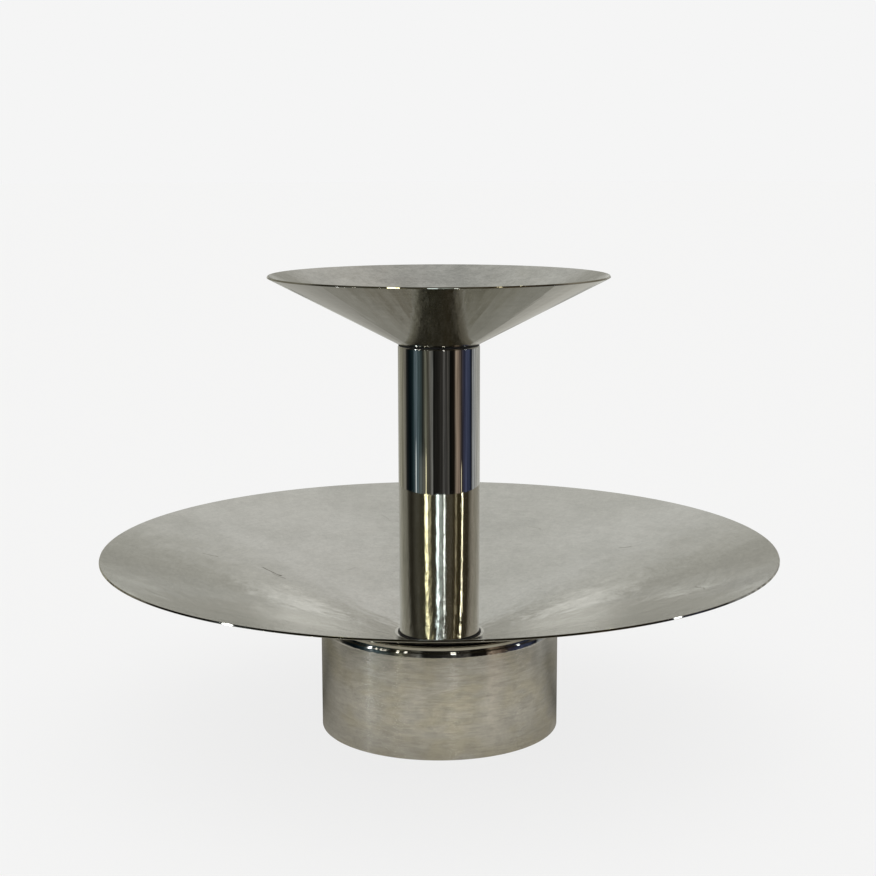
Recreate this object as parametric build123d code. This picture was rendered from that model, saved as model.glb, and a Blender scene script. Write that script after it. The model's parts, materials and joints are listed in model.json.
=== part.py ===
from build123d import *
import math
import os

# Two-tier table centrepiece of sheet metal, in millimetres, +Z up. The origin is the centre of the face
# that it stands on. A wide cone dish rests in the rolled mouth of a drum foot, a tube column stands on the
# dish, and a small cone dish plugs into the top of the column and lifts off. One threaded rod clamps the
# column, the wide dish and the drum to a weight in the foot.

# Overall sizes. A dish is measured across the lower edge of its rim, before that edge is rounded, and its
# depth runs from the underside of its flat seat up to the same edge.
lower_dish_diameter = 400.0
lower_dish_depth = 53.3
upper_dish_diameter = 200.0
upper_dish_depth = 39.4
column_diameter = 48.3
column_length = 173.0
drum_diameter = 142.0
drum_height = 66.5

# Sheet, walls and bends
dish_sheet = 1.2
drum_sheet = 1.2
column_wall = 1.5
rim_round = 0.5
seat_bend = 2.0
seat_margin = 2.7
drum_shoulder_radius = 5.0
drum_lip_run = 6.0
column_edge_round = 1.0

# Weighted foot
felt_thickness = 2.0
felt_inset = 5.0
drum_edge_above_table = 0.6
weight_web = 3.0
weight_clearance = 0.3
weight_chamfer = 1.0
nut_above_table = 1.0
nut_pocket_clearance = 6.0
ledge_thickness = 3.0
ledge_width = 7.0

# Soft rings between the metal pieces
neck_gasket_thickness = 0.3
neck_gasket_width = 5.0
column_gasket_thickness = 0.5
column_gasket_margin = 0.9
dish_gasket_thickness = 0.8
dish_gasket_inset = 0.3

# Rod and its fasteners, an M8 set
rod_diameter = 8.0
rod_hole_clearance = 0.3
thread_pitch = 1.25
thread_depth = 0.7
thread_length = 22.0
thread_fit = 0.02
nut_across_flats = 13.0
nut_height = 6.5
washer_diameter = 16.0
washer_thickness = 1.6
washer_clearance = 0.2
lock_washer_diameter = 14.8
lock_washer_thickness = 2.0
lock_washer_slit = 1.0
rod_past_top_nut = 2.5

# Plugs in the column, and the spigot under the small dish
foot_plug_length = 14.0
socket_wall = 3.8
socket_floor = 6.0
socket_above_rod = 7.4
spigot_clearance = 0.1
spigot_wall = 4.6
spigot_above_floor = 4.8
spigot_chamfer = 0.8
ring_section = 2.0
ring_squeeze_gap = 0.05
ring_groove_gap = 0.1
ring_below_seat = 6.0

# Radii
column_radius = column_diameter / 2
column_bore = column_radius - column_wall
drum_radius = drum_diameter / 2
drum_bore = drum_radius - drum_sheet
rod_radius = rod_diameter / 2
rod_hole_radius = rod_radius + rod_hole_clearance
socket_radius = column_bore - socket_wall
spigot_radius = socket_radius - spigot_clearance
spigot_bore = spigot_radius - spigot_wall
lower_seat_radius = column_radius + seat_margin
weight_radius = drum_bore - weight_clearance
nut_pocket_radius = washer_diameter / 2 + nut_pocket_clearance

# Slope of each cone, and the place of the drum's shoulder, where its wall turns in
lower_slope = math.atan2(lower_dish_depth, lower_dish_diameter / 2 - lower_seat_radius)
shoulder_centre = Vector(drum_radius - drum_shoulder_radius, drum_height - drum_shoulder_radius)

# Levels. The weight is as thick as the nut and washers in its pocket need. The wide dish is tangent to the
# shoulder, with the neck gasket between them.
lock_washer_bottom = nut_above_table + nut_height
bottom_washer_bottom = lock_washer_bottom + lock_washer_thickness
nut_pocket_roof = bottom_washer_bottom + washer_thickness
weight_top = nut_pocket_roof + weight_web
neck_offset = (drum_shoulder_radius + neck_gasket_thickness) / math.cos(lower_slope)
seat_run = shoulder_centre.X - lower_seat_radius
lower_seat = shoulder_centre.Y + neck_offset - seat_run * math.tan(lower_slope)
column_foot = lower_seat + dish_sheet + column_gasket_thickness
column_top = column_foot + column_length
upper_seat = column_top + dish_gasket_thickness
rod_top = column_top - socket_above_rod
socket_floor_top = rod_top - rod_past_top_nut - nut_height - washer_thickness
spigot_bottom = socket_floor_top + spigot_above_floor
spigot_ring_level = upper_seat - ring_below_seat


def toward(angle):
    # unit vector in the section plane, at an angle from the radius
    return Vector(math.cos(angle), math.sin(angle))


def turned(section):
    # solid of revolution about Z from a section drawn as radius and height
    return revolve(Plane.XZ * section, Axis.Z)


def rounded(section, corners):
    # rounds each corner that is listed with its radius
    for corner, radius in corners:
        nearest = section.vertices().sort_by_distance((corner.X, corner.Y, 0))[0]
        section = fillet(nearest, radius)
    return section


def polygon(*points):
    return make_face(Polyline(*points, close=True))


def ring(inner, outer, bottom, top):
    return turned(polygon((inner, bottom), (outer, bottom), (outer, top), (inner, top)))


def cone_dish(diameter, depth, seat_radius, hole_radius):
    # a flat seat, one bend and a straight cone, all of one sheet, with the seat's underside at Z = 0
    slope = math.atan2(depth, diameter / 2 - seat_radius)
    sheet_normal = toward(slope + math.pi / 2) * dish_sheet
    under_bend = Vector(seat_radius, 0)
    under_rim = Vector(diameter / 2, depth)
    over_rim = under_rim + sheet_normal
    over_bend = Vector(seat_radius - dish_sheet * math.tan(slope / 2), dish_sheet)
    section = polygon((hole_radius, 0), under_bend, under_rim, over_rim, over_bend, (hole_radius, dish_sheet))
    corners = [
        (under_bend, seat_bend + dish_sheet),
        (over_bend, seat_bend),
        (under_rim, rim_round),
        (over_rim, rim_round),
    ]
    return turned(rounded(section, corners))


def lower_dish():
    dish = cone_dish(lower_dish_diameter, lower_dish_depth, lower_seat_radius, rod_hole_radius)
    return Pos(0, 0, lower_seat) * dish


def upper_dish():
    # its seat is closed, and as wide as the column that it stands on
    dish = cone_dish(upper_dish_diameter, upper_dish_depth, column_radius, 0)
    return Pos(0, 0, upper_seat) * dish


def base_drum():
    # wall, rolled shoulder, and a lip that goes on down the slope of the dish
    outer_turn = 90 + math.degrees(lower_slope)
    inner_bend = drum_shoulder_radius - drum_sheet
    normal = toward(lower_slope + math.pi / 2)
    down_slope = toward(lower_slope) * -drum_lip_run
    over_start = shoulder_centre + normal * drum_shoulder_radius
    over_end = over_start + down_slope
    under_start = shoulder_centre + normal * inner_bend
    under_end = under_start + down_slope
    edges = [
        Line((drum_radius, drum_edge_above_table), (drum_radius, shoulder_centre.Y)),
        CenterArc(shoulder_centre, drum_shoulder_radius, 0, outer_turn),
        Polyline(over_start, over_end, under_end, under_start),
        CenterArc(shoulder_centre, inner_bend, 0, outer_turn),
        Polyline(
            (drum_bore, shoulder_centre.Y),
            (drum_bore, drum_edge_above_table),
            (drum_radius, drum_edge_above_table),
        ),
    ]
    return turned(make_face([edge for part in edges for edge in part.edges()]))


def neck_gasket():
    # strip between the drum's lip and the underside of the dish
    normal = toward(lower_slope + math.pi / 2)
    down_slope = toward(lower_slope) * -neck_gasket_width
    under_start = shoulder_centre + normal * drum_shoulder_radius
    over_start = under_start + normal * neck_gasket_thickness
    return turned(polygon(under_start, over_start, over_start + down_slope, under_start + down_slope))


def ledge_ring():
    return ring(drum_bore - ledge_width, drum_bore, weight_top, weight_top + ledge_thickness)


def base_weight():
    # disc under the ledge, with a pocket from below for the nut
    disc = ring(rod_hole_radius, weight_radius, felt_thickness, weight_top)
    rim_edges = disc.edges().filter_by(GeomType.CIRCLE).group_by(SortBy.RADIUS)[-1]
    pocket = ring(0, nut_pocket_radius, felt_thickness, nut_pocket_roof)
    return chamfer(rim_edges, weight_chamfer) - pocket


def felt_pad():
    return ring(nut_pocket_radius, weight_radius - felt_inset, 0, felt_thickness)


def column_gasket():
    bottom = lower_seat + dish_sheet
    return ring(rod_hole_radius, column_radius + column_gasket_margin, bottom, column_foot)


def column_tube():
    outline = polygon(
        (column_bore, column_foot),
        (column_radius, column_foot),
        (column_radius, column_top),
        (column_bore, column_top),
    )
    ends = [(Vector(column_radius, level), column_edge_round) for level in (column_foot, column_top)]
    return turned(rounded(outline, ends))


def column_foot_plug():
    return ring(rod_hole_radius, column_bore, column_foot, column_foot + foot_plug_length)


def column_socket():
    # cup in the top of the tube: the rod is nutted on its floor, and its wall guides the spigot
    cup = ring(socket_radius, column_bore, socket_floor_top, column_top)
    floor = ring(rod_hole_radius, column_bore, socket_floor_top - socket_floor, socket_floor_top)
    return cup + floor


def dish_gasket():
    return ring(socket_radius, column_radius - dish_gasket_inset, column_top, upper_seat)


def dish_spigot():
    # sleeve brazed under the seat, with a groove for its ring
    outline = polygon(
        (spigot_bore, spigot_bottom),
        (spigot_radius - spigot_chamfer, spigot_bottom),
        (spigot_radius, spigot_bottom + spigot_chamfer),
        (spigot_radius, upper_seat),
        (spigot_bore, upper_seat),
    )
    groove_floor = socket_radius - ring_squeeze_gap - ring_section - ring_groove_gap
    half_groove = ring_section / 2 + ring_groove_gap
    groove_bottom = spigot_ring_level - half_groove
    groove_top = spigot_ring_level + half_groove
    groove = ring(groove_floor, socket_radius, groove_bottom, groove_top)
    return turned(outline) - groove


def spigot_ring():
    centre = socket_radius - ring_squeeze_gap - ring_section / 2
    return turned(Pos(centre, spigot_ring_level) * Circle(ring_section / 2))


def tie_rod():
    # plain shank between two threads, whose ridges are drawn as rings
    bottom = nut_above_table
    root = rod_radius - thread_depth
    ridges = int(thread_length / thread_pitch)
    lower_thread = [(root, bottom)]
    upper_thread = [(root, rod_top)]
    for ridge in range(ridges):
        crest = (ridge + 0.5) * thread_pitch
        valley = (ridge + 1) * thread_pitch
        lower_thread += [(rod_radius, bottom + crest), (root, bottom + valley)]
        upper_thread += [(rod_radius, rod_top - crest), (root, rod_top - valley)]
    shank_bottom = bottom + valley + thread_depth
    shank_top = rod_top - valley - thread_depth
    shank = [(rod_radius, shank_bottom), (rod_radius, shank_top)]
    upper_thread.reverse()
    return turned(polygon((0, bottom), *lower_thread, *shank, *upper_thread, (0, rod_top)))


def hex_nut(bottom):
    # hexagon with its corners turned off at 30 degrees, and a countersunk bore
    corner_radius = nut_across_flats / 2 / math.cos(math.pi / 6)
    flat_radius = nut_across_flats / 2
    turned_off = (corner_radius - flat_radius) * math.tan(math.pi / 6)
    hexagon = extrude(RegularPolygon(corner_radius, 6), nut_height)
    bore = rod_radius + thread_fit
    envelope = turned(
        polygon(
            (bore + thread_depth, 0),
            (flat_radius, 0),
            (corner_radius, turned_off),
            (corner_radius, nut_height - turned_off),
            (flat_radius, nut_height),
            (bore + thread_depth, nut_height),
            (bore, nut_height - thread_depth),
            (bore, thread_depth),
        )
    )
    return Pos(0, 0, bottom) * (hexagon & envelope)


def flat_washer(bottom):
    return ring(rod_radius + washer_clearance, washer_diameter / 2, bottom, bottom + washer_thickness)


def lock_washer():
    # spring washer pressed flat, with the slit that its two ends leave
    outer = lock_washer_diameter / 2
    body = ring(rod_radius + washer_clearance, outer, lock_washer_bottom, bottom_washer_bottom)
    slit = Box(outer, lock_washer_slit, lock_washer_thickness * 3)
    return body - Pos(outer / 2, 0, lock_washer_bottom) * slit


parts = {
    "base_drum": base_drum(),
    "ledge_ring": ledge_ring(),
    "base_weight": base_weight(),
    "felt_pad": felt_pad(),
    "neck_gasket": neck_gasket(),
    "lower_dish": lower_dish(),
    "column_gasket": column_gasket(),
    "column_foot_plug": column_foot_plug(),
    "column_tube": column_tube(),
    "column_socket": column_socket(),
    "tie_rod": tie_rod(),
    "top_washer": flat_washer(socket_floor_top),
    "top_nut": hex_nut(socket_floor_top + washer_thickness),
    "bottom_washer": flat_washer(bottom_washer_bottom),
    "lock_washer": lock_washer(),
    "bottom_nut": hex_nut(nut_above_table),
    "dish_gasket": dish_gasket(),
    "spigot_ring": spigot_ring(),
    "dish_spigot": dish_spigot(),
    "upper_dish": upper_dish(),
}

os.makedirs("parts", exist_ok=True)
for name, shape in parts.items():
    shape.label = name
    export_step(shape, f"parts/{name}.step")
    size = shape.bounding_box().size
    print(f"{name}: {size.X:.1f} x {size.Y:.1f} x {size.Z:.1f} mm, {shape.volume / 1000:.1f} cm3")
print(f"seat {lower_seat:.2f}, column {column_foot:.2f} to {column_top:.2f}, upper seat {upper_seat:.2f}")
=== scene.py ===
import json
import math
import random

import bmesh
import bpy
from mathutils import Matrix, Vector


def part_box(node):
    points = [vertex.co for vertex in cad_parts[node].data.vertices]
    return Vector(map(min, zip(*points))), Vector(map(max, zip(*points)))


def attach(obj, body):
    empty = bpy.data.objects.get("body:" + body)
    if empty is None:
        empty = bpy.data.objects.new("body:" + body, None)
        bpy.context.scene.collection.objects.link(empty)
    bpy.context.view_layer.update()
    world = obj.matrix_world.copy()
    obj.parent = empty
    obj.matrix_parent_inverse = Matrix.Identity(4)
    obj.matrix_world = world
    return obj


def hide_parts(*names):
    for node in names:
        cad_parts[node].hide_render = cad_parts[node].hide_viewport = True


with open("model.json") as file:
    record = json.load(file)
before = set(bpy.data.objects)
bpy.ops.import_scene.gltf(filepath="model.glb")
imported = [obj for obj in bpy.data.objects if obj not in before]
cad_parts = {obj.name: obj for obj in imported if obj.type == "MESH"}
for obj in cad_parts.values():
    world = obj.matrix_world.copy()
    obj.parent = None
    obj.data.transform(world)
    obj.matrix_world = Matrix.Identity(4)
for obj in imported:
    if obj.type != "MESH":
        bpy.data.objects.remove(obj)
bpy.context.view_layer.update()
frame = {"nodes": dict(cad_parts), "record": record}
mm = 0.001
weld = 0.002 * mm  # points nearer than this are one point
near = 0.02 * mm  # how closely a point must lie to a ring to count as on it
print("frame loaded")


def deselectAll():
    bpy.ops.object.select_all(action="DESELECT")


def ringCorners(corners, spacing):
    # the section's corners, with more rings along its long straight runs
    rings = []
    for here, there in zip(corners, corners[1:] + corners[:1]):
        steps = max(1, math.ceil(math.dist(here, there) / spacing))
        for step in range(steps):
            share = step / steps
            rings.append((here[0] + (there[0] - here[0]) * share, here[1] + (there[1] - here[1]) * share))
    return rings


def turnShell(name, corners, sides, material, spacing=6 * mm):
    # a closed wall turned about Z: one circle is extruded round the whole section and back to its start
    rings = ringCorners(corners, spacing)
    radius, height = rings[0]
    deselectAll()
    bpy.ops.mesh.primitive_circle_add(vertices=sides, radius=radius, location=(0, 0, height))
    piece = bpy.context.object
    piece.name = name
    piece.data.materials.append(material)
    bpy.ops.object.transform_apply()
    bpy.ops.object.mode_set(mode="EDIT")
    bpy.ops.mesh.select_mode(type="EDGE")
    bpy.ops.mesh.select_all(action="SELECT")
    for nextRadius, nextHeight in rings[1:] + rings[:1]:
        bpy.ops.mesh.extrude_region_move(TRANSFORM_OT_translate={"value": (0, 0, nextHeight - height)})
        grow = nextRadius / radius
        bpy.ops.transform.resize(value=(grow, grow, 1), center_override=(0, 0, nextHeight))
        radius, height = nextRadius, nextHeight
    bpy.ops.mesh.select_all(action="SELECT")
    bpy.ops.mesh.remove_doubles(threshold=weld)
    bpy.ops.mesh.select_all(action="SELECT")
    bpy.ops.mesh.normals_make_consistent(inside=False)
    return piece


def selectRing(piece, corner):
    # every edge on the ring at this radius and height
    bpy.ops.mesh.select_all(action="DESELECT")
    mesh = bmesh.from_edit_mesh(piece.data)
    for edge in mesh.edges:
        onRing = all(
            abs(math.hypot(v.co.x, v.co.y) - corner[0]) < near and abs(v.co.z - corner[1]) < near
            for v in edge.verts
        )
        edge.select_set(onRing)
    bmesh.update_edit_mesh(piece.data)


def roundRing(piece, corner, reach, segments):
    # rounds a sharp ring, starting this far from it on both sides
    selectRing(piece, corner)
    bpy.ops.mesh.bevel(offset=reach, offset_type="OFFSET", segments=segments, clamp_overlap=False)


def closeRing(piece, corner):
    # fans a ring in to a point on the axis
    selectRing(piece, corner)
    bpy.ops.mesh.extrude_region_move()
    bpy.ops.mesh.merge(type="CENTER")


def secondFinish(piece, material, chosen):
    # gives a second finish to the faces that this test picks
    piece.data.materials.append(material)
    bpy.ops.mesh.select_mode(type="FACE")
    bpy.ops.mesh.select_all(action="DESELECT")
    mesh = bmesh.from_edit_mesh(piece.data)
    for face in mesh.faces:
        face.select_set(chosen(face))
    bmesh.update_edit_mesh(piece.data)
    piece.active_material_index = len(piece.data.materials) - 1
    bpy.ops.object.material_slot_assign()
    bpy.ops.mesh.select_mode(type="EDGE")


def finishShell(piece, body, cadNode):
    bpy.ops.object.mode_set(mode="OBJECT")
    deselectAll()
    piece.select_set(True)
    bpy.context.view_layer.objects.active = piece
    bpy.ops.object.shade_smooth_by_angle(angle=math.radians(35))
    weighted = piece.modifiers.new("even normals", "WEIGHTED_NORMAL")
    weighted.keep_sharp = True
    bpy.ops.object.modifier_apply(modifier=weighted.name)
    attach(piece, body)
    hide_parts(cadNode)
    print("made", piece.name)
    return piece


def addNode(tree, kind, values=None, **settings):
    made = tree.nodes.new("ShaderNode" + kind)
    for name, value in settings.items():
        setattr(made, name, value)
    for key, value in (values or {}).items():
        if isinstance(value, bpy.types.NodeSocket):
            tree.links.new(value, made.inputs[key])
        else:
            made.inputs[key].default_value = value
    return made


def calc(tree, operation, *numbers):
    return addNode(tree, "Math", dict(enumerate(numbers)), operation=operation).outputs[0]


def spread(tree, value, low, high, newLow, newHigh, smooth=True):
    kind = "SMOOTHSTEP" if smooth else "LINEAR"
    values = {"Value": value, "From Min": low, "From Max": high, "To Min": newLow, "To Max": newHigh}
    return addNode(tree, "MapRange", values, interpolation_type=kind).outputs["Result"]


def blendColor(tree, share, first, second, kind="MIX"):
    mix = addNode(tree, "Mix", {"Factor": share}, data_type="RGBA", blend_type=kind)
    for name, value in (("A", first), ("B", second)):
        socket = next(s for s in mix.inputs if s.name == name and s.type == "RGBA")
        if isinstance(value, bpy.types.NodeSocket):
            tree.links.new(value, socket)
        else:
            socket.default_value = (*value, 1)
    return next(s for s in mix.outputs if s.type == "RGBA")


def noise(tree, vector, scale, detail=3, rough=0.5):
    values = {"Vector": vector, "Scale": scale, "Detail": detail, "Roughness": rough}
    return addNode(tree, "TexNoise", values).outputs[0]


def scaled(tree, vector, factors):
    return addNode(tree, "VectorMath", {0: vector, 1: factors}, operation="MULTIPLY").outputs[0]


def timesNumber(tree, vector, number):
    return addNode(tree, "VectorMath", {0: vector, "Scale": number}, operation="SCALE").outputs[0]


def sumOf(tree, first, second):
    return addNode(tree, "VectorMath", {0: first, 1: second}, operation="ADD").outputs[0]


def relief(tree, *layers, strength=1.0):
    # bumps laid one over another: what gives each its height, and how high it stands
    values = {"Strength": strength}
    for height, distance in layers:
        values.update({"Height": height, "Distance": distance})
        values["Normal"] = addNode(tree, "Bump", values).outputs[0]
    return values["Normal"]


def newMaterial(name):
    material = bpy.data.materials.new(name)
    material.use_nodes = True
    tree = material.node_tree
    shader = tree.nodes["Principled BSDF"]
    place = addNode(tree, "TexCoord").outputs["Object"]
    return material, tree, shader, place


def plugIn(tree, shader, **sockets):
    for name, value in sockets.items():
        socket = shader.inputs[name.replace("_", " ")]
        if isinstance(value, bpy.types.NodeSocket):
            tree.links.new(value, socket)
        else:
            socket.default_value = value


def awayFromAxis(tree, place):
    flat = scaled(tree, place, (1, 1, 0))
    return addNode(tree, "VectorMath", {0: flat}, operation="NORMALIZE").outputs[0]


def around(tree, place, turns, radial, rise):
    # coordinates in which the sheet's spinning marks run round the axis, with no seam
    outward = awayFromAxis(tree, place)
    flat = scaled(tree, place, (1, 1, 0))
    radius = addNode(tree, "VectorMath", {0: flat}, operation="LENGTH").outputs["Value"]
    height = addNode(tree, "SeparateXYZ", {0: place}).outputs["Z"]
    run = calc(tree, "ADD", calc(tree, "MULTIPLY", radius, radial), calc(tree, "MULTIPLY", height, rise))
    parts = addNode(tree, "SeparateXYZ", {0: scaled(tree, outward, (turns, turns, 0))})
    joined = addNode(tree, "CombineXYZ", {"X": parts.outputs["X"], "Y": parts.outputs["Y"], "Z": run})
    return joined.outputs[0]


dishFinish = {
    "metal": (0.84, 0.835, 0.80),
    "stain": (0.665, 0.655, 0.605),
    "dull": (0.73, 0.73, 0.695),
    "roughness": (0.12, 0.18),
    "anisotropy": 0.72,
    "ripple": 0.5 * mm,
    "wave": 0.3 * mm,
    "grain": 0.04 * mm,
    "scuff": (0.16, 0.14, 0.11),
}
# scuffs in the wide dish: start and end in millimetres, and how dark
scuffs = [
    ((-147, 40), (-139, 41), 0.4), ((-111, 44), (-98, 39), 0.7), ((-104, 39), (-96, 36), 0.35),
    ((-159, -83), (-140, -97), 0.3), ((116, 73), (124, 70), 0.3), ((60, 130), (68, 124), 0.15),
    ((-40, 150), (-34, 143), 0.12), ((30, -150), (48, -158), 0.4), ((-90, -120), (-74, -133), 0.3),
    ((150, -60), (146, -44), 0.3), ((70, -40), (84, -33), 0.2), ((-60, 70), (-54, 76), 0.12),
]

smallScuffs = [
    ((49, 30), (52, 24), 0.6), ((-60, 20), (-50, 30), 0.3),
    ((-10, 55), (4, 60), 0.3), ((70, 10), (78, 2), 0.3),
]
scuffShape = {"core": 0.2 * mm, "edge": 0.9 * mm, "bend": 6 * mm, "bendScale": 120.0}


def scuffMarks(tree, place, marks):
    # thin worn lines: the distance from each point to a short straight mark, bent a little by noise
    values = {"Vector": place, "Scale": scuffShape["bendScale"], "Detail": 2.0}
    bend = addNode(tree, "TexNoise", values).outputs["Color"]
    bend = addNode(tree, "VectorMath", {0: bend, 1: (0.5, 0.5, 0.5)}, operation="SUBTRACT").outputs[0]
    moved = sumOf(tree, scaled(tree, bend, (scuffShape["bend"], scuffShape["bend"], 0)), place)
    flat = scaled(tree, moved, (1, 1, 0))
    total = None
    for start, end, depth in marks:
        start, end = [(x * mm, y * mm, 0) for x, y in (start, end)]
        length = math.dist(start, end)
        along = tuple((e - s) / length for s, e in zip(start, end))
        away = addNode(tree, "VectorMath", {0: flat, 1: start}, operation="SUBTRACT").outputs[0]
        run = addNode(tree, "VectorMath", {0: away, 1: along}, operation="DOT_PRODUCT").outputs["Value"]
        run = calc(tree, "MINIMUM", calc(tree, "MAXIMUM", run, 0), length)
        point = timesNumber(tree, along, run)
        gap = addNode(tree, "VectorMath", {0: away, 1: point}, operation="DISTANCE").outputs["Value"]
        mark = spread(tree, gap, scuffShape["core"], scuffShape["edge"], depth, 0)
        total = mark if total is None else calc(tree, "MAXIMUM", total, mark)
    return total


def dishInside(name, marks, patchy, fleckDepth, tone):
    # spun sheet, dulled by use: patchy, finely scuffed, with rings left by spinning
    material, tree, shader, place = newMaterial(name)
    spun = around(tree, place, 16, 480, 0)
    ringed = around(tree, place, 7, 85, 0)
    cloud = noise(tree, place, 8, 3, 0.5)
    patch = noise(tree, place, 34, 5, 0.62)
    lines = noise(tree, spun, 1, 3, 0.6)
    grain = noise(tree, place, 480, 3, 0.7)
    mottle = noise(tree, place, 150, 3, 0.6)
    ripple = noise(tree, ringed, 1, 2, 0.35)
    wave = noise(tree, place, 15, 1)
    stained = spread(tree, cloud, 0.36, 0.66, 0, 0.35)
    color = blendColor(tree, stained, dishFinish["metal"], dishFinish["stain"])
    color = blendColor(tree, spread(tree, patch, 0.42, 0.72, 0, patchy), color, dishFinish["dull"])
    fleck = calc(tree, "ADD", spread(tree, grain, 0.3, 0.7, 0, 0.4), spread(tree, lines, 0.3, 0.7, 0, 0.3))
    fleck = calc(tree, "ADD", fleck, spread(tree, mottle, 0.3, 0.7, 0, 0.3))
    flecks = blendColor(tree, fleck, (tone - fleckDepth,) * 3, (tone + fleckDepth,) * 3)
    color = blendColor(tree, 1.0, color, flecks, "MULTIPLY")
    low, high = dishFinish["roughness"]
    rough = spread(tree, patch, 0.35, 0.65, low, high)
    rough = calc(tree, "ADD", rough, spread(tree, lines, 0.3, 0.7, -0.02, 0.02))
    scuff = scuffMarks(tree, place, marks)
    color = blendColor(tree, scuff, color, dishFinish["scuff"])
    rough = calc(tree, "ADD", rough, calc(tree, "MULTIPLY", scuff, 0.2))
    layers = [(wave, dishFinish["wave"]), (ripple, dishFinish["ripple"]), (grain, dishFinish["grain"])]
    plugIn(tree, shader, Base_Color=color, Metallic=1.0, Roughness=rough, Normal=relief(tree, *layers))
    plugIn(tree, shader, Anisotropic=dishFinish["anisotropy"], Tangent=awayFromAxis(tree, place))
    return material


underFinish = {
    "metal": (0.66, 0.65, 0.60),
    "stain": (0.56, 0.545, 0.49),
    "fleck": ((0.93, 0.93, 0.925), (1.07, 1.07, 1.07)),
    "roughness": (0.03, 0.05),
    "wave": 0.16 * mm,
    "ridge": 0.04 * mm,
}


def dishUnder():
    # the sheet's outer side keeps its polish; the reflections in it waver
    material, tree, shader, place = newMaterial("polished under side")
    streak = around(tree, place, 9, 14, 0)
    spun = around(tree, place, 5, 500, 0)
    ridged = around(tree, place, 34, 25, 0)
    wave = noise(tree, streak, 1, 2, 0.5)
    ridge = noise(tree, ridged, 1, 2, 0.5)
    patch = noise(tree, place, 40, 4, 0.6)
    lines = noise(tree, spun, 1, 2, 0.6)
    stained = spread(tree, patch, 0.4, 0.7, 0, 0.7)
    color = blendColor(tree, stained, underFinish["metal"], underFinish["stain"])
    color = blendColor(tree, spread(tree, lines, 0.3, 0.7, 0, 0.5), color, underFinish["stain"])
    fleck = noise(tree, place, 380, 3, 0.6)
    color = blendColor(tree, 1.0, color, blendColor(tree, fleck, *underFinish["fleck"]), "MULTIPLY")
    low, high = underFinish["roughness"]
    rough = spread(tree, patch, 0.35, 0.7, low, high)
    bump = relief(tree, (wave, underFinish["wave"]), (ridge, underFinish["ridge"]))
    plugIn(tree, shader, Base_Color=color, Metallic=1.0, Roughness=rough, Normal=bump)
    return material


drumFinish = {
    "metal": (0.71, 0.70, 0.65),
    "warm": (0.655, 0.62, 0.49),
    "cool": (0.58, 0.57, 0.535),
    "roughness": (0.21, 0.26),
    "anisotropy": 0.88,
    "brushed": ((0.87, 0.865, 0.855), (1.11, 1.11, 1.11)),
    "grain": 0.012 * mm,
}


def drumWall():
    # brushed round and round, with a blotchy film on it; a fine brush line lies level
    material, tree, shader, place = newMaterial("brushed wall")
    coarse = around(tree, place, 5, 0, 620)
    fine = around(tree, place, 9, 0, 1700)
    wide = around(tree, place, 3.2, 0, 80)
    close = around(tree, place, 9, 0, 230)
    cloud = noise(tree, wide, 1, 2, 0.45)
    blotch = noise(tree, close, 1, 3, 0.5)
    lines = noise(tree, coarse, 1, 3, 0.6)
    thin = noise(tree, fine, 1, 2, 0.6)
    grain = noise(tree, place, 520, 3, 0.7)
    filmed = spread(tree, cloud, 0.36, 0.66, 0, 0.6)
    color = blendColor(tree, filmed, drumFinish["metal"], drumFinish["warm"])
    color = blendColor(tree, spread(tree, blotch, 0.40, 0.70, 0, 0.32), color, drumFinish["cool"])
    brush = calc(tree, "ADD", spread(tree, lines, 0.3, 0.7, 0, 0.4), spread(tree, thin, 0.3, 0.7, 0, 0.3))
    brush = calc(tree, "ADD", brush, spread(tree, grain, 0.3, 0.7, 0, 0.3))
    color = blendColor(tree, 1.0, color, blendColor(tree, brush, *drumFinish["brushed"]), "MULTIPLY")
    low, high = drumFinish["roughness"]
    rough = spread(tree, blotch, 0.35, 0.7, low, high)
    bump = relief(tree, (brush, drumFinish["grain"]))
    up = addNode(tree, "CombineXYZ", {"Z": 1.0}).outputs[0]
    plugIn(tree, shader, Base_Color=color, Metallic=1.0, Roughness=rough, Normal=bump)
    plugIn(tree, shader, Anisotropic=drumFinish["anisotropy"], Tangent=up)
    return material


shoulderFinish = {
    "metal": (0.68, 0.67, 0.63),
    "haze": (0.56, 0.55, 0.50),
    "roughness": (0.04, 0.09),
    "wave": 0.03 * mm,
}


def drumShoulder():
    # the rolled edge and the lip keep their polish
    material, tree, shader, place = newMaterial("polished shoulder")
    spun = around(tree, place, 14, 300, 300)
    wave = noise(tree, spun, 1, 2)
    haze = noise(tree, place, 150, 4)
    hazy = spread(tree, haze, 0.4, 0.7, 0, 0.6)
    color = blendColor(tree, hazy, shoulderFinish["metal"], shoulderFinish["haze"])
    rough = spread(tree, haze, 0.35, 0.7, *shoulderFinish["roughness"])
    bump = relief(tree, (wave, shoulderFinish["wave"]))
    plugIn(tree, shader, Base_Color=color, Metallic=1.0, Roughness=rough, Normal=bump)
    return material


columnFinish = {
    "metal": (0.80, 0.80, 0.78),
    "film": (0.66, 0.65, 0.60),
    "roughness": (0.015, 0.035),
    "wave": 0.03 * mm,
}


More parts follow.
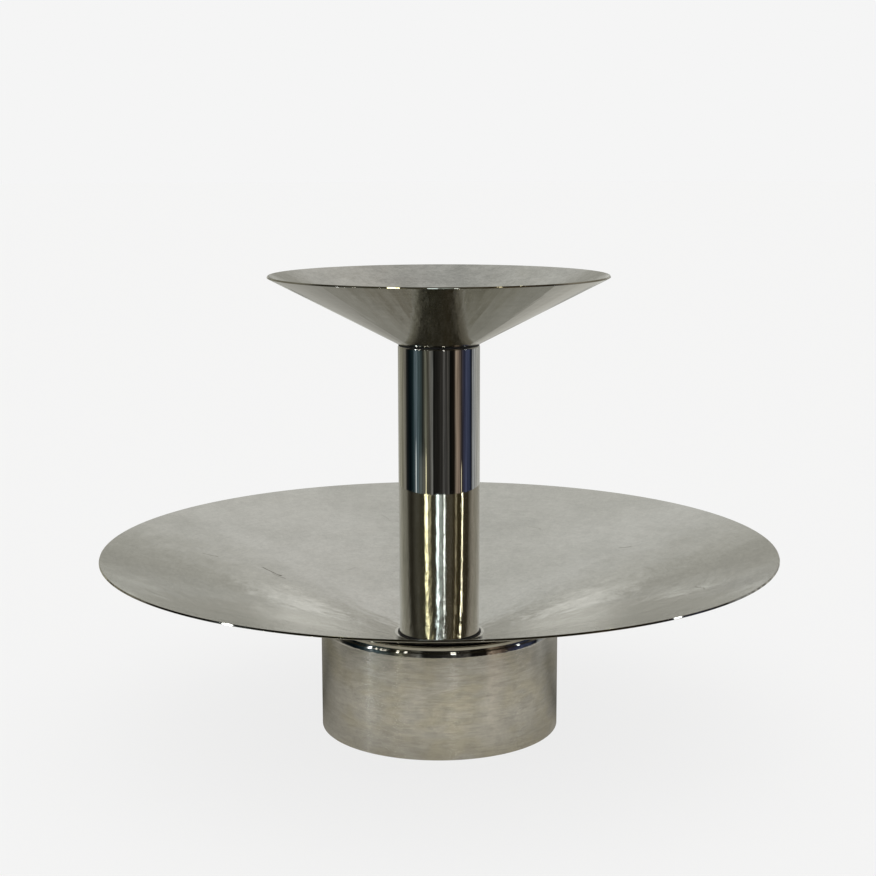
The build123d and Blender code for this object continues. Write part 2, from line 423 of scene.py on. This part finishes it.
def columnWall():
    # mirror polish along the tube, with long soft waves and faint rub marks
    material, tree, shader, place = newMaterial("polished tube")
    wave = noise(tree, scaled(tree, place, (1, 1, 0.35)), 110, 2, 0.5)
    rub = noise(tree, scaled(tree, place, (1, 1, 0.12)), 420, 4, 0.6)
    haze = noise(tree, place, 60, 4, 0.6)
    rubbed = spread(tree, rub, 0.42, 0.72, 0, 0.55)
    color = blendColor(tree, rubbed, columnFinish["metal"], columnFinish["film"])
    low, high = columnFinish["roughness"]
    rough = spread(tree, haze, 0.4, 0.72, low, high)
    bump = relief(tree, (wave, columnFinish["wave"]))
    plugIn(tree, shader, Base_Color=color, Metallic=1.0, Roughness=rough, Normal=bump)
    return material


def turnedSteel(name, metal, roughness):
    material, tree, shader, place = newMaterial(name)
    spun = around(tree, place, 2, 1200, 1200)
    lines = noise(tree, spun, 1, 2)
    color = blendColor(tree, spread(tree, lines, 0.3, 0.7, 0, 0.4), metal, tuple(c * 0.8 for c in metal))
    bump = relief(tree, (lines, 0.02 * mm), strength=0.6)
    rough = spread(tree, lines, 0.3, 0.7, roughness, roughness + 0.1)
    plugIn(tree, shader, Base_Color=color, Metallic=1.0, Roughness=rough, Normal=bump)
    return material


def blackRubber():
    material, tree, shader, place = newMaterial("black rubber")
    grain = noise(tree, place, 900, 3)
    color = blendColor(tree, grain, (0.012, 0.012, 0.012), (0.03, 0.03, 0.03))
    rough = spread(tree, grain, 0.3, 0.7, 0.5, 0.7)
    bump = relief(tree, (grain, 0.03 * mm), strength=0.5)
    plugIn(tree, shader, Base_Color=color, Roughness=rough, Normal=bump)
    return material


def castIron():
    material, tree, shader, place = newMaterial("painted cast iron")
    grain = noise(tree, place, 420, 5, 0.6)
    patch = noise(tree, place, 60, 3)
    color = blendColor(tree, patch, (0.018, 0.018, 0.019), (0.045, 0.044, 0.043))
    rough = spread(tree, grain, 0.3, 0.7, 0.45, 0.65)
    bump = relief(tree, (grain, 0.12 * mm), strength=0.7)
    plugIn(tree, shader, Base_Color=color, Roughness=rough, Normal=bump)
    return material


def woolFelt():
    material, tree, shader, place = newMaterial("wool felt")
    fuzz = noise(tree, place, 1400, 5, 0.7)
    clump = noise(tree, place, 220, 3)
    color = blendColor(tree, clump, (0.012, 0.012, 0.014), (0.045, 0.045, 0.05))
    color = blendColor(tree, spread(tree, fuzz, 0.5, 0.8, 0, 0.6), color, (0.09, 0.09, 0.095))
    both = calc(tree, "ADD", fuzz, calc(tree, "MULTIPLY", clump, 0.6))
    bump = relief(tree, (both, 0.2 * mm), strength=0.9)
    plugIn(tree, shader, Base_Color=color, Roughness=0.95, Normal=bump)
    plugIn(tree, shader, Sheen_Weight=0.4, Sheen_Roughness=0.5)
    return material


# how patchy each dish is, how deep its flecks, and how light it is
wideInside = dishInside("scuffed wide dish", scuffs, 0.5, 0.10, 1.0)
smallInside = dishInside("dulled small dish", smallScuffs, 0.9, 0.15, 0.9)
underSide = dishUnder()
polishedShoulder = drumShoulder()
finishes = {
    "satin_dish": smallInside,
    "satin_drum": drumWall(),
    "polished_column": columnWall(),
    "plain_steel": turnedSteel("turned steel", (0.50, 0.50, 0.48), 0.28),
    "zinc_plate": turnedSteel("zinc plate", (0.62, 0.64, 0.66), 0.3),
    "cast_weight": castIron(),
    "black_rubber": blackRubber(),
    "felt": woolFelt(),
}
print("finishes made")


sheet = {
    "thickness": 1.2 * mm,
    "rimRound": 0.2 * mm,
    "innerBend": 2 * mm,
    "rimSegments": 5,
    "bendSegments": 6,
}


def rimOf(high, seat, seatRadius):
    # the rim's lower edge before rounding, and the cone's slope, from the node's highest and widest points
    thick, soft = sheet["thickness"], sheet["rimRound"]
    depth = high.z - seat
    slope = math.atan2(depth, high.x - seatRadius)
    for attempt in range(20):
        trimmed = soft * (math.sin(slope) + math.cos(slope) - 1)
        rimRadius = high.x + trimmed
        rimHeight = depth - thick * math.cos(slope) + trimmed
        slope = math.atan2(rimHeight, rimRadius - seatRadius)
    return (rimRadius, seat + rimHeight), slope


def facesOut(face):
    # the under side and the rim's cut edge, which are both polished
    return face.normal.z < 0 or face.normal.xy.dot(face.calc_center_median().xy) > 0


def coneDish(name, cadNode, seatRadius, holeRadius, sides, inside):
    # seat, bend and cone of one sheet; the CAD node's box gives its rim and its levels
    low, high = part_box(cadNode)
    thick = sheet["thickness"]
    seat = low.z
    rim, slope = rimOf(high, seat, seatRadius)
    half = math.tan(slope / 2)
    overBend = (seatRadius - thick * half, seat + thick)
    overRim = (rim[0] - thick * math.sin(slope), rim[1] + thick * math.cos(slope))
    under = [(holeRadius, seat), (seatRadius, seat), rim]
    over = [overRim, overBend, (holeRadius, seat + thick)]
    dish = turnShell(name, under + over, sides, inside)
    roundRing(dish, (seatRadius, seat), (sheet["innerBend"] + thick) * half, sheet["bendSegments"])
    roundRing(dish, overBend, sheet["innerBend"] * half, sheet["bendSegments"])
    for edge in (rim, overRim):
        roundRing(dish, edge, sheet["rimRound"], sheet["rimSegments"])
    secondFinish(dish, underSide, facesOut)
    return dish


wideShape = {"seatPastColumn": 2.7 * mm, "rodClearance": 0.3 * mm, "sides": 288}
smallShape = {"hub": 2 * mm, "sides": 240}
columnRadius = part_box("column_tube")[1].x
wideSeat = columnRadius + wideShape["seatPastColumn"]
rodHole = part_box("tie_rod")[1].x + wideShape["rodClearance"]

wideDish = coneDish("wideDish", "lower_dish", wideSeat, rodHole, wideShape["sides"], wideInside)
finishShell(wideDish, "stand", "lower_dish")


def wideSlope():
    low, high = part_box("lower_dish")
    return rimOf(high, low.z, wideSeat)[1]


def smallDishShell():
    # the small dish's seat has no hole, so both its faces close at the axis
    hub = smallShape["hub"]
    dish = coneDish("smallDish", "upper_dish", columnRadius, hub, smallShape["sides"], smallInside)
    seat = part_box("upper_dish")[0].z
    bpy.ops.mesh.select_mode(type="FACE")
    bpy.ops.mesh.select_all(action="DESELECT")
    mesh = bmesh.from_edit_mesh(dish.data)
    for face in mesh.faces:
        face.select_set(all(abs(math.hypot(v.co.x, v.co.y) - hub) < near for v in face.verts))
    bmesh.update_edit_mesh(dish.data)
    bpy.ops.mesh.delete(type="FACE")
    bpy.ops.mesh.select_mode(type="EDGE")
    for level in (seat, seat + sheet["thickness"]):
        closeRing(dish, (hub, level))
    bpy.ops.mesh.select_all(action="SELECT")
    bpy.ops.mesh.normals_make_consistent(inside=False)
    return dish


finishShell(smallDishShell(), "upper_tier", "upper_dish")


drumShape = {
    "wall": 1.2 * mm,
    "shoulder": 5.0 * mm,
    "lip": 6 * mm,
    "footRound": 0.3 * mm,
    "polishDown": 0.8 * mm,
    "ringSpacing": 14 * mm,  # wide, so that no ring lies within the shoulder's bend
    "shoulderSegments": 14,
    "sides": 256,
}


def footDrum():
    # wall, rolled shoulder, and a lip that follows the dish's slope
    low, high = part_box("base_drum")
    slope = wideSlope()
    wall, bend = drumShape["wall"], drumShape["shoulder"]
    turn = math.pi / 2 + slope
    center = (high.x - bend, high.z - bend)
    reach = bend * math.tan(turn / 2)
    corner = (high.x, center[1] + reach)
    lip = reach + drumShape["lip"]
    lipEnd = (corner[0] - math.cos(slope) * lip, corner[1] - math.sin(slope) * lip)
    under = (lipEnd[0] + math.sin(slope) * wall, lipEnd[1] - math.cos(slope) * wall)
    innerReach = (bend - wall) * math.tan(turn / 2)
    innerCorner = (high.x - wall, center[1] + innerReach)
    foot = [(high.x - wall, low.z), (high.x, low.z)]
    polishEnd = (high.x, center[1] - drumShape["polishDown"])
    section = foot + [polishEnd, corner, lipEnd, under, innerCorner]
    finish, spacing = finishes["satin_drum"], drumShape["ringSpacing"]
    drum = turnShell("footDrum", section, drumShape["sides"], finish, spacing)
    roundRing(drum, corner, reach, drumShape["shoulderSegments"])
    roundRing(drum, innerCorner, innerReach, drumShape["shoulderSegments"])
    for edge in foot:
        roundRing(drum, edge, drumShape["footRound"], 3)
    secondFinish(drum, polishedShoulder, lambda face: face.calc_center_median().z > polishEnd[1])
    return drum


finishShell(footDrum(), "stand", "base_drum")


tubeShape = {"wall": 1.5 * mm, "endRound": 1 * mm, "sides": 192}


def flatSection(low, high, innerRadius):
    return [(innerRadius, low.z), (high.x, low.z), (high.x, high.z), (innerRadius, high.z)]


def columnTube():
    low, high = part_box("column_tube")
    corners = flatSection(low, high, high.x - tubeShape["wall"])
    tube = turnShell("columnTube", corners, tubeShape["sides"], finishes["polished_column"])
    for edge in corners[1:3]:
        roundRing(tube, edge, tubeShape["endRound"], 8)
    return tube


finishShell(columnTube(), "stand", "column_tube")


# how wide each flat ring is, and how soft its edges are
ringShapes = {
    "dishGasket": 5 * mm,
    "columnGasket": 20.75 * mm,
    "soft": 0.15 * mm,
    "spacing": 4 * mm,
    "sides": 160,
}


def flatRing(name, cadNode, body):
    # a flat rubber ring, the size of its CAD node
    low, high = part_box(cadNode)
    corners = flatSection(low, high, high.x - ringShapes[name])
    ring = turnShell(name, corners, ringShapes["sides"], finishes["black_rubber"], ringShapes["spacing"])
    for edge in corners:
        roundRing(ring, edge, ringShapes["soft"], 3)
    return finishShell(ring, body, cadNode)


flatRing("dishGasket", "dish_gasket", "seal_rings")
flatRing("columnGasket", "column_gasket", "stand")

neckStrip = {"thickness": 0.3 * mm, "width": 5 * mm, "sides": 192}


def neckGasket():
    # a flat strip that lies along the dish's slope
    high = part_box("neck_gasket")[1]
    slope = wideSlope()
    thick, width = neckStrip["thickness"], neckStrip["width"]
    outer = (high.x, high.z - thick * math.cos(slope))
    outerTop = (high.x - thick * math.sin(slope), high.z)
    along = (-width * math.cos(slope), -width * math.sin(slope))
    innerTop = (outerTop[0] + along[0], outerTop[1] + along[1])
    inner = (outer[0] + along[0], outer[1] + along[1])
    section = [inner, outer, outerTop, innerTop]
    ring = turnShell("neckGasket", section, neckStrip["sides"], finishes["black_rubber"])
    return finishShell(ring, "stand", "neck_gasket")


neckGasket()


def socketRing():
    # the rubber ring in the spigot's groove
    low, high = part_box("spigot_ring")
    thick = high.z - low.z
    deselectAll()
    bpy.ops.mesh.primitive_torus_add(
        major_radius=high.x - thick / 2,
        minor_radius=thick / 2,
        major_segments=144,
        minor_segments=20,
        location=(0, 0, (low.z + high.z) / 2),
    )
    ring = bpy.context.object
    ring.name = "spigotRing"
    ring.data.materials.append(finishes["black_rubber"])
    bpy.ops.object.transform_apply()
    bpy.ops.object.mode_set(mode="EDIT")
    return finishShell(ring, "seal_rings", "spigot_ring")


socketRing()


spigotShape = {
    "wall": 4.6 * mm,
    "grooveDepth": 2.05 * mm,
    "halfGroove": 1.1 * mm,
    "leadRound": 0.8 * mm,
    "boreRound": 0.4 * mm,
    "sides": 160,
}


def spigotSleeve():
    # a turned sleeve with a groove for the rubber ring
    low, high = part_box("dish_spigot")
    ringLow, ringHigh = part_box("spigot_ring")
    bore, floor = high.x - spigotShape["wall"], high.x - spigotShape["grooveDepth"]
    gap = spigotShape["halfGroove"]
    middle = (ringLow.z + ringHigh.z) / 2
    corners = [
        (bore, low.z), (high.x, low.z), (high.x, middle - gap), (floor, middle - gap),
        (floor, middle + gap), (high.x, middle + gap), (high.x, high.z), (bore, high.z),
    ]
    sleeve = turnShell("spigotSleeve", corners, spigotShape["sides"], finishes["plain_steel"])
    roundRing(sleeve, corners[1], spigotShape["leadRound"], 4)
    roundRing(sleeve, corners[0], spigotShape["boreRound"], 3)
    return finishShell(sleeve, "upper_tier", "dish_spigot")


spigotSleeve()


feltShape = {
    "hole": 14 * mm,
    "edgeRound": 0.7 * mm,
    "uneven": 0.2 * mm,
    "unevenFrom": 50 * mm,
    "wavers": 24,
    "spacing": 5 * mm,
    "sides": 192,
}


def feltPad():
    # cut felt: its edge is soft and a little uneven, and it lies flat under the weight
    low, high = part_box("felt_pad")
    hole, count = feltShape["hole"], feltShape["wavers"]
    corners = flatSection(low, high, hole)
    pad = turnShell("feltPad", corners, feltShape["sides"], finishes["felt"], feltShape["spacing"])
    for edge in corners:
        roundRing(pad, edge, feltShape["edgeRound"], 4)
    bpy.ops.object.mode_set(mode="OBJECT")
    random.seed(5)
    waver = [random.uniform(-1, 1) for step in range(count)]
    for vertex in pad.data.vertices:
        angle = (math.atan2(vertex.co.y, vertex.co.x) / math.tau + 1) * count
        here = int(angle) % count
        share = angle - int(angle)
        share = share * share * (3 - 2 * share)
        pull = waver[here] * (1 - share) + waver[(here + 1) % count] * share - 1
        radius = math.hypot(vertex.co.x, vertex.co.y)
        grow = 1 + pull * feltShape["uneven"] / radius if radius > feltShape["unevenFrom"] else 1
        vertex.co.x *= grow
        vertex.co.y *= grow
    bpy.ops.object.mode_set(mode="EDIT")
    pad = finishShell(pad, "stand", "felt_pad")


feltPad()

replaced = {
    "lower_dish", "upper_dish", "base_drum", "column_tube", "dish_gasket", "column_gasket", "neck_gasket",
    "spigot_ring", "dish_spigot", "felt_pad",
}
for row in frame["record"]["subparts"]:
    if row["node"] not in replaced:
        node = frame["nodes"][row["node"]]
        node.material_slots[0].material = finishes[row["material_slot"]]
print("pieces made")


def bearing(tree, way):
    # degrees round the piece, 0 at the front, positive to the right
    return calc(tree, "DEGREES", calc(tree, "ARCTAN2", way["X"], calc(tree, "MULTIPLY", way["Y"], -1)))


def distanceFrom(tree, value, middle):
    return calc(tree, "ABSOLUTE", calc(tree, "SUBTRACT", value, middle))


def directionRamp(tree, way, stops):
    # a colour for each direction round the piece
    ramp = addNode(tree, "ValToRGB", {"Fac": spread(tree, bearing(tree, way), -180, 180, 0, 1, False)})
    marks = ramp.color_ramp.elements
    for number, (degrees, color) in enumerate(stops):
        position = (degrees + 180) / 360
        mark = marks[0] if number == 0 else marks[-1] if number == len(stops) - 1 else marks.new(position)
        mark.position = position
        mark.color = (*color, 1)
    return ramp.outputs["Color"]


def flatCard(name, radius, height):
    deselectAll()
    bpy.ops.mesh.primitive_circle_add(vertices=128, radius=radius, location=(0, 0, height), fill_type="NGON")
    card = bpy.context.object
    card.name = name
    bpy.ops.object.transform_apply()
    return card


def reflectionCard(card, name):
    # a card that only the metal sees, with an empty material to fill
    card.visible_camera = False
    card.visible_diffuse = False
    card.visible_shadow = False
    material = bpy.data.materials.new(name)
    material.use_nodes = True
    material.node_tree.nodes.clear()
    card.data.materials.append(material)
    return material.node_tree


def sendOut(tree, shader, kind="OutputMaterial"):
    out = addNode(tree, kind)
    tree.links.new(shader, out.inputs["Surface"])


floorLook = {"glow": 0.82, "pale": (0.095, 0.095, 0.095), "radius": 30.0}


def paleFloor():
    # mostly an even glow, so that the shadow under the piece stays faint
    floor = flatCard("floor", floorLook["radius"], 0)
    material, tree, shader, place = newMaterial("pale floor")
    plugIn(tree, shader, Base_Color=(*floorLook["pale"], 1), Roughness=0.9, Specular_IOR_Level=0.0)
    plugIn(tree, shader, Emission_Color=(1.0, 1.0, 1.0, 1), Emission_Strength=floorLook["glow"])
    floor.data.materials.append(material)
    floor.visible_glossy = False
    return floor


tableCard = {
    "radius": 267 * mm,
    "height": 0.1 * mm,
    "warm": (1.0, 0.955, 0.85),
    "shade": (71 * mm, 150 * mm, 0.62, 0.97),  # painted shadow of the wide dish: darker close to the foot
    "edge": (200 * mm, 280 * mm, 0, 0.35),  # painted light: lighter towards the edge, out past the dish
}
# a painted streak of strip light lies across the table as a thin line: a point on it, its heading, its half
# width and its glow
paintedLightStreak = {"from": (-41 * mm, -58 * mm), "heading": -71, "width": 1.0 * mm, "glow": 0.05}
# painted light and shade on the table, by direction from the piece: degrees from the front, positive to the
# right
paintedTableLight = [
    (-180, 0.28), (-135, 0.16), (-118, 0.13), (-107, 0.22), (-95, 0.33), (-75, 0.44), (-60, 0.53),
    (-40, 0.55), (0, 0.64), (33, 0.63), (61, 0.53), (83, 0.49), (100, 0.28), (110, 0.17), (122, 0.20),
    (180, 0.28),
]


def paintedTableCard():
    # what the metal sees of the table: a glowing card with the table's light and shade painted on it
    tree = reflectionCard(flatCard("table", tableCard["radius"], tableCard["height"]), "table")
    place = addNode(tree, "TexCoord").outputs["Object"]
    radius = addNode(tree, "VectorMath", {0: place}, operation="LENGTH").outputs["Value"]
    way = addNode(tree, "SeparateXYZ", {0: place}).outputs
    # the card's glow is painted brighter or darker by direction round the piece
    shade = directionRamp(tree, way, [(degrees, (glow,) * 3) for degrees, glow in paintedTableLight])
    # painted shadow of the dish near the foot, and painted light towards the card's edge
    shaded, paintedEdgeLight = (spread(tree, radius, *tableCard[name]) for name in ("shade", "edge"))
    ringed = calc(tree, "ADD", shaded, paintedEdgeLight)
    color = blendColor(tree, 1.0, shade, tableCard["warm"], "MULTIPLY")
    # a painted streak of light across the table, added to its glow
    heading = math.radians(paintedLightStreak["heading"])
    sideways = (math.cos(heading), math.sin(heading), 0)
    start = paintedLightStreak["from"]
    across = addNode(tree, "VectorMath", {0: place, 1: sideways}, operation="DOT_PRODUCT").outputs["Value"]
    across = distanceFrom(tree, across, start[0] * sideways[0] + start[1] * sideways[1])
    width = paintedLightStreak["width"]
    streak = spread(tree, across, width * 0.3, width * 1.7, paintedLightStreak["glow"], 0)
    streak = calc(tree, "MULTIPLY", streak, calc(tree, "LESS_THAN", way["X"], start[0]))
    glow = addNode(tree, "Emission", {"Color": sumOf(tree, color, streak), "Strength": ringed})
    sendOut(tree, glow.outputs[0])


# in metres: how far behind and how high the card stands, and where its glow starts and ends
backGlow = {
    "away": 1.0,
    "middle": 0.4,
    "size": 1.4,
    "across": (0.0, 0.028, 0.088),
    "heights": (0.22, 0.29, 0.33, 0.56),
    "tint": (1.0, 1.0, 0.985, 1),
    "glow": 0.34,
}


def litDoorway():
    # a soft light some way behind; it is clear all round its glow
    deselectAll()
    where = (0, backGlow["away"], backGlow["middle"])
    bpy.ops.mesh.primitive_plane_add(size=backGlow["size"], location=where, rotation=(math.pi / 2, 0, 0))
    card = bpy.context.object
    card.name = "doorway"
    bpy.ops.object.transform_apply()
    tree = reflectionCard(card, "doorway")
    place = addNode(tree, "SeparateXYZ", {0: addNode(tree, "TexCoord").outputs["Object"]}).outputs
    middle, near, far = backGlow["across"]
    low, bottom, top, high = backGlow["heights"]
    across = distanceFrom(tree, place["X"], middle)
    glow = spread(tree, across, near, far, backGlow["glow"], 0)
    glow = calc(tree, "MULTIPLY", glow, spread(tree, place["Z"], low, bottom, 0, 1))
    glow = calc(tree, "MULTIPLY", glow, spread(tree, place["Z"], top, high, 1, 0))
    light = addNode(tree, "Emission", {"Color": backGlow["tint"], "Strength": glow})
    clear = addNode(tree, "BsdfTransparent")
    both = addNode(tree, "AddShader", {0: light.outputs[0], 1: clear.outputs[0]})
    sendOut(tree, both.outputs[0])


paleFloor()
paintedTableCard()
litDoorway()

room = {
    "pale": (0.913, 0.913, 0.913),
    "table": (1.0, 0.985, 0.915),
    "warm": (1.0, 0.985, 0.93),
    "cool": (1.0, 1.0, 1.005),
    "clutter": (0.45, 0.12),
}
# each runs between two elevations, or two places sideways or back, and between two brightnesses
roomRuns = {
    "farAcross": (-0.2, 0.2, 0.42, 0.53),
    "farNear": (-34, -19, 0.80, 1.0),
    "farBelow": (-16, -12.5, 1, 0),
    "farBehind": (0, 0.3, 0, 1),
    "rise": (12, 36, 0.53, 0.90),
    "fall": (46, 62, 1.0, 0.70),
    "front": (-0.05, 0.3, 0.8, 1.0),
    "overhead": (54, 70, 1, 0),
    "dimFront": (-0.5, 0, 0.35, 1),
    "dimLow": (20, 38, 0.35, 1),
    "cooler": (14, 34, 0, 1),
    "horizon": (0, 16, 0, 1),
}
# round the piece: degrees from the front, positive to the right, and what the metal sees level with it
lowStops = [
    (-180, (0.45, 0.45, 0.42)), (-143, (0.31, 0.30, 0.24)), (-126, (0.20, 0.19, 0.145)),
    (-112, (0.19, 0.18, 0.15)), (-103, (0.012, 0.012, 0.012)), (-93, (0.003, 0.006, 0.007)),
    (-86, (0.003, 0.006, 0.008)), (-77, (0.014, 0.027, 0.03)), (-69, (0.11, 0.145, 0.165)),
    (-60, (0.06, 0.088, 0.095)), (-46, (0.016, 0.018, 0.015)),
    (-37, (0.15, 0.15, 0.115)), (-31, (0.06, 0.056, 0.043)), (-19, (0.15, 0.15, 0.14)),
    (-15, (0.007, 0.007, 0.006)), (3, (0.02, 0.019, 0.017)), (9, (0.03, 0.028, 0.025)),
    (14, (0.08, 0.078, 0.074)), (20, (0.033, 0.031, 0.029)), (26, (0.07, 0.067, 0.06)),
    (31, (0.004, 0.004, 0.0035)), (44, (0.010, 0.008, 0.006)), (50, (0.30, 0.235, 0.18)),
    (57, (0.20, 0.15, 0.115)), (66, (0.03, 0.025, 0.026)), (76, (0.03, 0.033, 0.06)),
    (84, (0.052, 0.06, 0.105)), (93, (0.035, 0.043, 0.078)), (104, (0.004, 0.005, 0.008)),
    (109, (0.28, 0.29, 0.30)), (131, (0.36, 0.355, 0.33)), (180, (0.45, 0.45, 0.42)),
]
# and what it sees some way above
highStops = [
    (-180, (0.61, 0.61, 0.58)), (-165, (0.56, 0.56, 0.53)), (-143, (0.43, 0.42, 0.36)),
    (-126, (0.29, 0.28, 0.23)), (-110, (0.25, 0.24, 0.20)), (-98, (0.05, 0.046, 0.034)),
    (-88, (0.025, 0.022, 0.015)), (-68, (0.09, 0.085, 0.065)), (-55, (0.06, 0.055, 0.036)),
    (0, (0.07, 0.064, 0.045)), (35, (0.10, 0.088, 0.062)), (44, (0.045, 0.034, 0.018)),
    (50, (0.14, 0.115, 0.068)), (57, (0.04, 0.03, 0.012)), (72, (0.06, 0.05, 0.032)),
    (92, (0.035, 0.028, 0.016)), (101, (0.20, 0.18, 0.145)), (112, (0.34, 0.31, 0.26)),
    (131, (0.33, 0.31, 0.26)), (150, (0.44, 0.42, 0.37)), (165, (0.58, 0.57, 0.54)),
    (180, (0.61, 0.61, 0.58)),
]
# strip lights: azimuth, elevation, half width, half height, colour, strength
lamps = [
    (-37.5, 46, 5.0, 2.6, (1.0, 0.94, 0.58), 5.4), (-27, 45.5, 3, 2.0, (1.0, 0.93, 0.55), 1.2),
    (-4.5, 46, 4.2, 3.5, (0.84, 0.97, 1.0), 4.4), (5, 46, 5.0, 4.0, (0.84, 0.97, 0.95), 0.7),
    (15, 46, 2.0, 3.0, (0.93, 1.0, 0.97), 5.6), (70.5, 46.3, 1.3, 1.5, (1.0, 0.93, 0.66), 17),
    (71, 45.5, 2.0, 2.4, (1.0, 0.9, 0.72), 0.7), (50, 46, 1.6, 2.4, (1.0, 0.9, 0.62), 0.9),
    (-68, -11, 2.0, 1.2, (0.95, 1.0, 0.98), 0.5), (-49, -11.4, 11, 1.3, (1.0, 0.97, 0.85), 0.06),
    (-37, -11, 1.2, 0.9, (1.0, 0.9, 0.55), 0.9), (66, -11, 1.0, 0.6, (1.0, 0.9, 0.6), 0.8),
    (-70, 9, 1.4, 2.6, (0.95, 0.98, 1.0), 22), (-62, 10, 0.8, 0.8, (1.0, 0.95, 0.85), 16),
    (-57, 11, 0.8, 0.8, (1.0, 0.95, 0.85), 16), (-53, 9, 0.8, 0.8, (1.0, 0.95, 0.85), 12),
    (-40, 8, 1.2, 1.2, (1.0, 0.95, 0.85), 16), (-32, 11, 1.4, 1.0, (1.0, 0.97, 0.90), 12),
    (13, 9, 2.4, 1.2, (1.0, 0.98, 0.93), 14), (81, 10, 1.8, 1.5, (0.92, 0.97, 1.0), 7),
]


def surroundings():
    world = bpy.data.worlds.new("studio")
    bpy.context.scene.world = world
    world.use_nodes = True
    tree = world.node_tree
    tree.nodes.clear()
    way = addNode(tree, "SeparateXYZ", {0: addNode(tree, "TexCoord").outputs["Generated"]}).outputs
    side, back = way["X"], way["Y"]
    azimuth = bearing(tree, way)
    elevation = calc(tree, "DEGREES", calc(tree, "ARCSINE", way["Z"]))

    def run(value, name):
        return spread(tree, value, *roomRuns[name])

    stretch, squeeze = room["clutter"]
    values = {"X": calc(tree, "MULTIPLY", azimuth, stretch), "Y": calc(tree, "MULTIPLY", elevation, squeeze)}
    fine = addNode(tree, "CombineXYZ", values).outputs[0]
    clutter = spread(tree, noise(tree, fine, 1, 3, 0.7), 0.3, 0.7, 0.25, 1.8)
    low = timesNumber(tree, directionRamp(tree, way, lowStops), clutter)
    floorTone = calc(tree, "MULTIPLY", run(side, "farAcross"), run(elevation, "farNear"))
    farTable = timesNumber(tree, room["table"], floorTone)
    behind = calc(tree, "MULTIPLY", run(elevation, "farBelow"), run(back, "farBehind"))
    low = blendColor(tree, behind, low, farTable)
    level = calc(tree, "MULTIPLY", run(elevation, "rise"), run(elevation, "fall"))
    front = calc(tree, "MAXIMUM", run(back, "front"), run(elevation, "overhead"))
    level = calc(tree, "MULTIPLY", level, front)
    dim = calc(tree, "MAXIMUM", run(back, "dimFront"), run(elevation, "dimLow"))
    level = calc(tree, "MULTIPLY", level, dim)
    lit = timesNumber(tree, directionRamp(tree, way, highStops), level)
    warmth = blendColor(tree, run(elevation, "cooler"), room["warm"], room["cool"])
    lit = blendColor(tree, 1.0, lit, warmth, "MULTIPLY")
    color = blendColor(tree, run(elevation, "horizon"), low, lit)
    for where, height, halfWidth, halfHeight, tint, strength in lamps:
        across = distanceFrom(tree, azimuth, where)
        upward = distanceFrom(tree, elevation, height)
        inside = spread(tree, across, halfWidth * 0.6, halfWidth * 1.2, 1, 0)
        lengthwise = spread(tree, upward, halfHeight * 0.5, halfHeight * 1.4, 1, 0)
        inside = calc(tree, "MULTIPLY", inside, lengthwise)
        light = tuple(c * strength for c in tint)
        color = sumOf(tree, color, timesNumber(tree, light, inside))
    seen = addNode(tree, "LightPath").outputs["Is Camera Ray"]
    color = blendColor(tree, seen, color, room["pale"])
    sendOut(tree, addNode(tree, "Background", {"Color": color}).outputs[0], "OutputWorld")


surroundings()

sunlight = {"strength": 2.35, "angle": 110, "height": 2.0}


def softLight():
    deselectAll()
    bpy.ops.object.light_add(type="SUN", location=(0, 0, sunlight["height"]))
    lamp = bpy.context.object
    lamp.data.energy = sunlight["strength"]
    lamp.data.angle = math.radians(sunlight["angle"])
    lamp.visible_glossy = False
    return lamp


softLight()

# distance and height in metres, tilt and roll in degrees
view = {"distance": 0.9645, "height": 0.3348, "tilt": 9.45, "roll": -0.114, "lens": 67.86, "shift": -0.00124}


def lookIn():
    deselectAll()
    bpy.ops.object.camera_add(location=(0, -view["distance"], view["height"]))
    camera = bpy.context.object
    camera.rotation_mode = "ZYX"
    camera.rotation_euler = (math.radians(90 - view["tilt"]), 0, math.radians(view["roll"]))
    camera.data.lens = view["lens"]
    camera.data.shift_x = view["shift"]
    bpy.context.scene.camera = camera
    bpy.context.scene.view_settings.view_transform = "Standard"


lookIn()
print("studio ready")
